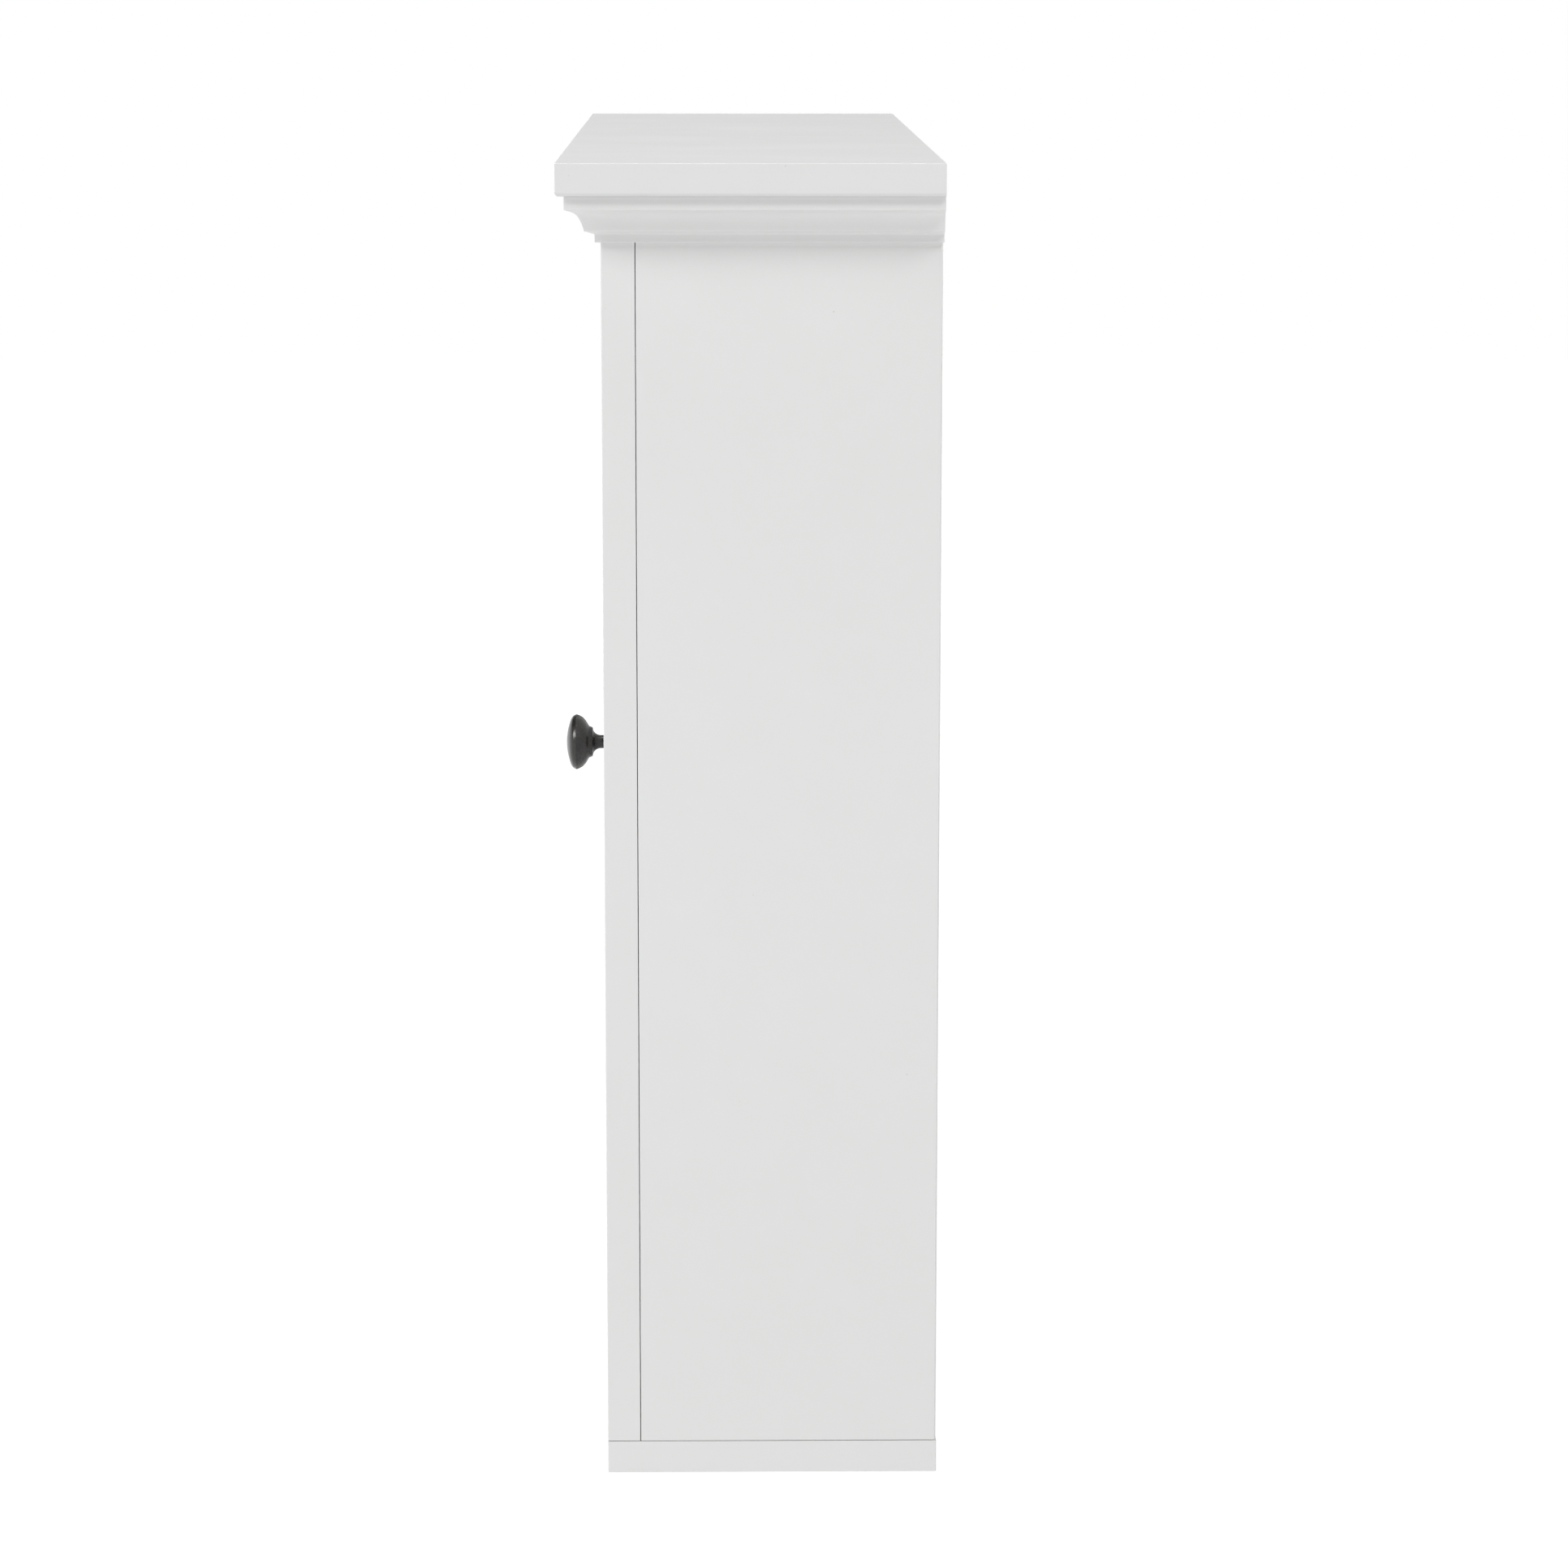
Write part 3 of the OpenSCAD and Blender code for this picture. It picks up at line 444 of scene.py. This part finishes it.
def turned(name, outline, middle_x, face_y, middle_z, steps=128):
    """A closed solid of revolution about Y. The outline starts and ends on the axis."""
    bm = bmesh.new()
    rings = []
    for r, out in outline:
        if r < 1e-9:
            rings.append([bm.verts.new((middle_x, face_y - out * MM, middle_z))])
            continue
        ring = []
        for i in range(steps):
            a = 2 * math.pi * i / steps
            x = middle_x + r * MM * math.cos(a)
            z = middle_z + r * MM * math.sin(a)
            ring.append(bm.verts.new((x, face_y - out * MM, z)))
        rings.append(ring)
    for near, far in zip(rings, rings[1:]):
        for i in range(steps):
            j = (i + 1) % steps
            corners = [near[i % len(near)], near[j % len(near)], far[j % len(far)], far[i % len(far)]]
            unique = list(dict.fromkeys(corners))
            if len(unique) >= 3:
                bm.faces.new(unique)
    bmesh.ops.recalc_face_normals(bm, faces=bm.faces)
    mesh = bpy.data.meshes.new(name)
    bm.to_mesh(mesh)
    bm.free()
    obj = bpy.data.objects.new(name, mesh)
    bpy.context.scene.collection.objects.link(obj)
    return obj


# The knob's outline in mm, as radius and distance from the door. Negative distances count back from its tip.
KNOB_BORE_R = 2.05
KNOB_BORE_DEPTH = 13.0
KNOB_FOOT = [(6.6, 0.0), (7.0, 0.35), (7.0, 0.95), (6.75, 1.2)]
KNOB_COLLAR = [(8.75, -15.6), (9.0, -15.2), (9.45, -13.9), (9.8, -13.45)]
KNOB_BACK = [(11.1, -12.7), (12.85, -11.6), (14.9, -9.8), (16.0, -7.9), (16.55, -6.6)]
KNOB_RIM_BACK = 5.75
KNOB_NOSE_MIDDLE = (12.37, -6.79)
KNOB_DOME_R = 38.0
KNOB_DOME_EDGE = 14.0
DOME_STEPS = 14


def make_knob():
    lo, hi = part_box("knob")
    out = (hi.y - lo.y) / MM
    rim = (hi.x - lo.x) / 2 / MM
    quarter = [math.radians(9 * i) for i in range(11)]
    outline = [(0.0, KNOB_BORE_DEPTH), (KNOB_BORE_R, KNOB_BORE_DEPTH), (KNOB_BORE_R, 0.0)]
    outline += KNOB_FOOT
    # The neck narrows along one quarter of an ellipse, and widens along another.
    outline += [(6.4 - 2.4 * math.sin(a), 1.2 + 6.8 * (1 - math.cos(a))) for a in quarter]
    outline += [(8.5 - 4.5 * math.cos(a), 9.2 + 5.0 * math.sin(a)) for a in quarter[1:]]
    outline += [(r, out + place) for r, place in KNOB_COLLAR + KNOB_BACK]
    outline += [(rim, out - KNOB_RIM_BACK)]
    nose_r, nose_place = KNOB_NOSE_MIDDLE
    outline += arc((nose_r, out + nose_place), rim - nose_r - 0.02, 18, 68, 10)
    for i in range(DOME_STEPS, -1, -1):
        r = KNOB_DOME_EDGE * i / DOME_STEPS
        outline.append((r, out - (KNOB_DOME_R - math.sqrt(KNOB_DOME_R**2 - r**2))))
    middle = (lo + hi) / 2
    knob = turned("turned_knob", outline, middle.x, hi.y, middle.z)
    knob.data.materials.append(FINISHES["dark_knob"])
    knob.modifiers.new("smooth", "NODES").node_group = SMOOTH
    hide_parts("knob")
    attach(knob, "door")


make_knob()

# ---------------------------------------------------------------- floor, light and camera

FLOOR_RADIUS = 7.0
FLOOR_SIDES = 96
FLOOR_GAP = 0.0004
FLOOR_GLOW = 0.92
RIM_GLOW = 0.96
# Heights are given as the sine of the elevation above the horizon.
WALL_TOP = 0.18
CEILING_START = 0.34
CEILING_TONE = 0.04
SOFTBOX_DISTANCE = 8.0
SOFTBOX_SIZE = 2.2
KEY_WATTS = 220.0
FRONT_WATTS = 233.0
HIGH_WATTS = 102.0
OVERHEAD_WATTS = 342.0
REAR_WATTS = 140.0
STRIP_WATTS = 0.35
STRIP_DISTANCE = 2.4
STRIP_WIDTH = 0.08
STRIP_LENGTH = 0.25


def floor():
    """Light table: pale, and bright by itself, so that it stays near white and lights the underside."""
    made, tree, shader = new_material("studio_floor")
    where = tree.coords()
    share = tree.span(tree.noise(where, 1.2, 2.0), 0.35, 0.65, 0.0, 1.0)
    tree.join(tree.mix(share, grey(0.145), grey(0.155)), shader.inputs["Base Color"])
    shader.inputs["Roughness"].default_value = 0.9
    shader.inputs["Specular IOR Level"].default_value = 0.1
    shader.inputs["Emission Color"].default_value = (1, 1, 1, 1)
    away = tree.node("ShaderNodeVectorMath", operation="LENGTH")
    tree.join(where, away.inputs[0])
    glow = tree.span(away.outputs["Value"], 1.0, 4.5, FLOOR_GLOW, RIM_GLOW)
    tree.join(glow, shader.inputs["Emission Strength"])
    mesh = bpy.data.meshes.new("studio_floor")
    turns = [math.tau * i / FLOOR_SIDES for i in range(FLOOR_SIDES)]
    rim = [(FLOOR_RADIUS * math.cos(a), FLOOR_RADIUS * math.sin(a), 0) for a in turns]
    mesh.from_pydata(rim, [], [tuple(range(FLOOR_SIDES))])
    obj = bpy.data.objects.new("studio_floor", mesh)
    obj.location.z = cad_box[0].z - FLOOR_GAP
    bpy.context.scene.collection.objects.link(obj)
    mesh.materials.append(made)


def softbox(name, place, target, size_x, size_y, watts):
    """A rectangular area light at a place, turned to face the target."""
    light = bpy.data.lights.new(name, "AREA")
    light.shape = "RECTANGLE"
    light.size = size_x
    light.size_y = size_y
    light.energy = watts
    obj = bpy.data.objects.new(name, light)
    obj.location = place
    obj.rotation_mode = "QUATERNION"
    obj.rotation_quaternion = (Vector(target) - Vector(place)).to_track_quat("-Z", "Y")
    bpy.context.scene.collection.objects.link(obj)


def world():
    """A white studio wall round the horizon that darkens towards the ceiling."""
    made = bpy.data.worlds.new("studio")
    bpy.context.scene.world = made
    made.use_nodes = True
    tree = Tree(made.node_tree)
    background = made.node_tree.nodes["Background"]
    where = tree.node("ShaderNodeTexCoord").outputs["Generated"]
    split = tree.node("ShaderNodeSeparateXYZ")
    tree.join(where, split.inputs[0])
    height = tree.span(split.outputs["Z"], WALL_TOP, CEILING_START, 0.0, 1.0)
    tree.join(tree.mix(height, grey(1.0), grey(CEILING_TONE)), background.inputs["Color"])
    background.inputs["Strength"].default_value = 1.0


CAMERA_PLACE = (2.8277, -0.0140, 0.8326)
CAMERA_YAW = 0.0143
CAMERA_PITCH = 0.1776
CAMERA_ROLL = 0.0007
CAMERA_LENS = 106.31
CAMERA_SENSOR = 36.0


def camera():
    """The studio camera, nearly level with the right side of the cabinet. Its angles are in radians."""
    level = math.cos(CAMERA_PITCH)
    forward = Vector((
        -level * math.cos(CAMERA_YAW),
        level * math.sin(CAMERA_YAW),
        -math.sin(CAMERA_PITCH),
    ))
    flat_right = forward.cross(Vector((0, 0, 1))).normalized()
    flat_up = flat_right.cross(forward)
    right = flat_right * math.cos(CAMERA_ROLL) + flat_up * math.sin(CAMERA_ROLL)
    up = flat_up * math.cos(CAMERA_ROLL) - flat_right * math.sin(CAMERA_ROLL)
    data = bpy.data.cameras.new("studio_camera")
    data.lens = CAMERA_LENS
    data.sensor_width = CAMERA_SENSOR
    obj = bpy.data.objects.new("studio_camera", data)
    turn = Matrix((right, up, -forward)).transposed().to_4x4()
    obj.matrix_world = Matrix.Translation(CAMERA_PLACE) @ turn
    bpy.context.scene.collection.objects.link(obj)
    bpy.context.scene.camera = obj


floor()
world()
camera()
knob_lo, knob_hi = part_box("knob")
knob_mid = (knob_lo + knob_hi) / 2
middle = (cad_box[0] + cad_box[1]) / 2
for label, direction, watts in (
    ("key", (1.0, 0.7, 1.35), KEY_WATTS),
    ("front_left", (1.0, -2.5, 1.33), FRONT_WATTS),
    ("high_left", (1.0, -1.8, 1.8), HIGH_WATTS),
    ("overhead", (0.05, -0.2, 1.0), OVERHEAD_WATTS),
    ("rear_left", (-1.0, 0.9, 0.12), REAR_WATTS),
):
    place = middle + Vector(direction).normalized() * SOFTBOX_DISTANCE
    softbox(label, place, middle, SOFTBOX_SIZE, SOFTBOX_SIZE, watts)
strip_place = knob_mid + Vector((0.80, -0.19, 0.64)).normalized() * STRIP_DISTANCE
softbox("side_strip", strip_place, knob_mid, STRIP_WIDTH, STRIP_LENGTH, STRIP_WATTS)

bpy.context.scene.view_settings.view_transform = "Standard"
bpy.context.scene.view_settings.look = "None"
